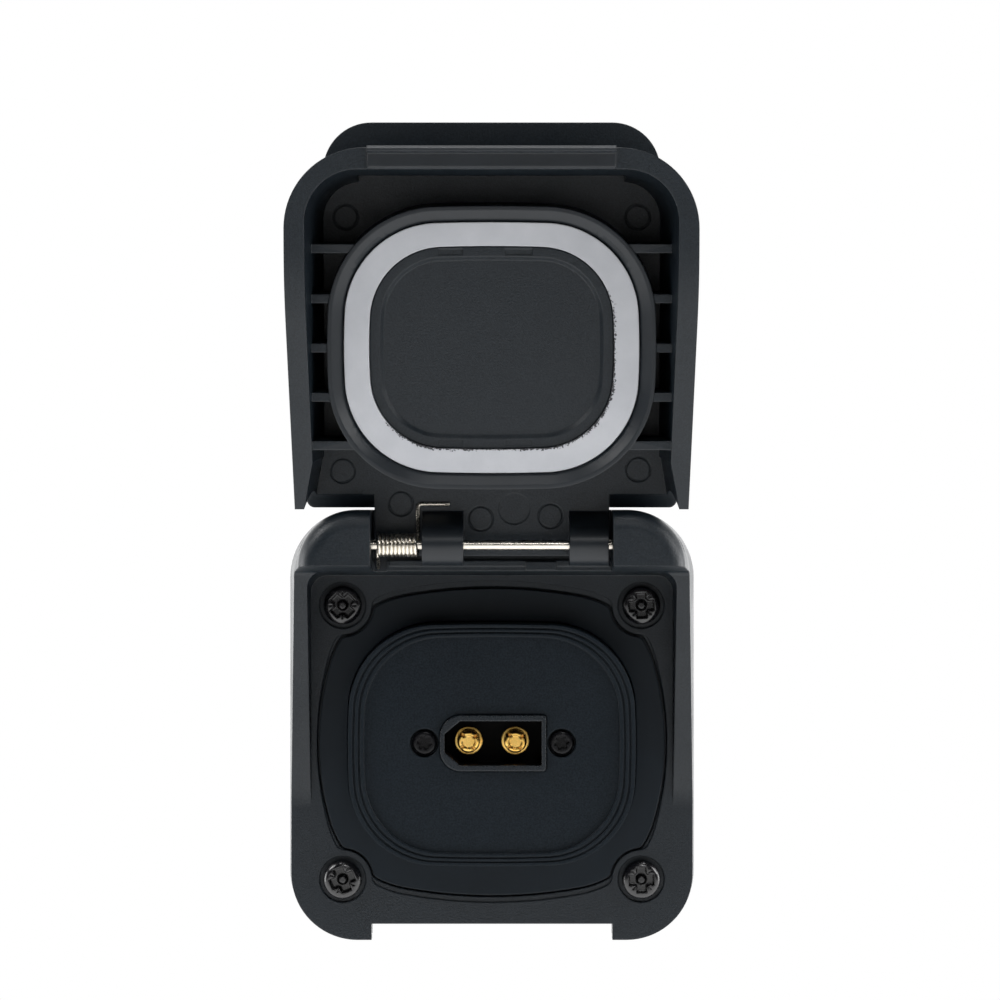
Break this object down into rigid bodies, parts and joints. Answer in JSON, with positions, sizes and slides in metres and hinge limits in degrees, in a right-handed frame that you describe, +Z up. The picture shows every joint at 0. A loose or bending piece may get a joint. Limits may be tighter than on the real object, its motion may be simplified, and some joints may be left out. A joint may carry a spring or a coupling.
{
  "type": "inlet box",
  "caption": "Square wall-mount low-voltage inlet box: hinged, sprung snap lid with ring seal, raised two-pin socket in a collar, sealed cup and cable gland behind the wall.",
  "frame": {"origin": "centre of the four wall screws, on the wall's face (back of the foam gasket)", "axes": "+X right seen from the front, +Y into the wall, +Z up; the lid opens upward about an axis along X"},
  "size_m": [0.0628, 0.0819, 0.125],
  "materials": {
    "housing_plastic": "fine spark-eroded texture, near-black blue-grey",
    "connector_plastic": "smooth satin black nylon",
    "gland_plastic": "satin black nylon",
    "foam": "closed-cell foam",
    "seal_rubber": "smooth satin black elastomer",
    "lid_seal_rubber": "light grey matte silicone foam",
    "black_steel": "glossy black zinc",
    "steel": "drawn stainless wire and rod",
    "gold": "gold-plated copper alloy"
  },
  "bodies": {
    "base": {"base_housing": "housing_plastic", "wall_gasket": "foam", "collar_seal": "seal_rubber", "socket_carrier": "housing_plastic", "connector_housing": "connector_plastic", "connector_screws": "black_steel", "connector_nuts": "steel", "wall_screws": "black_steel", "rear_housing": "housing_plastic", "rear_cover": "housing_plastic", "rear_cover_seal": "seal_rubber", "rear_cover_screws": "steel", "gland_body": "gland_plastic", "gland_locknut": "gland_plastic", "gland_seal": "seal_rubber", "gland_nut": "gland_plastic", "contact_pin_positive": "gold", "contact_pin_negative": "gold", "hinge_pin": "steel", "torsion_spring": "steel"},
    "lid": {"lid_shell": "housing_plastic", "lid_gasket": "lid_seal_rubber", "gasket_retainer": "housing_plastic"}
  },
  "joints": [
    {"name": "lid_hinge", "type": "hinge", "parent": "base", "child": "lid", "pos_m": [0, -0.02, 0.0307], "axis": [1, 0, 0], "range_deg": [0, 175], "stiffness_Nm_per_rad": 0.01, "springref_deg": -60.16, "deforming": ["torsion_spring"]}
  ]
}
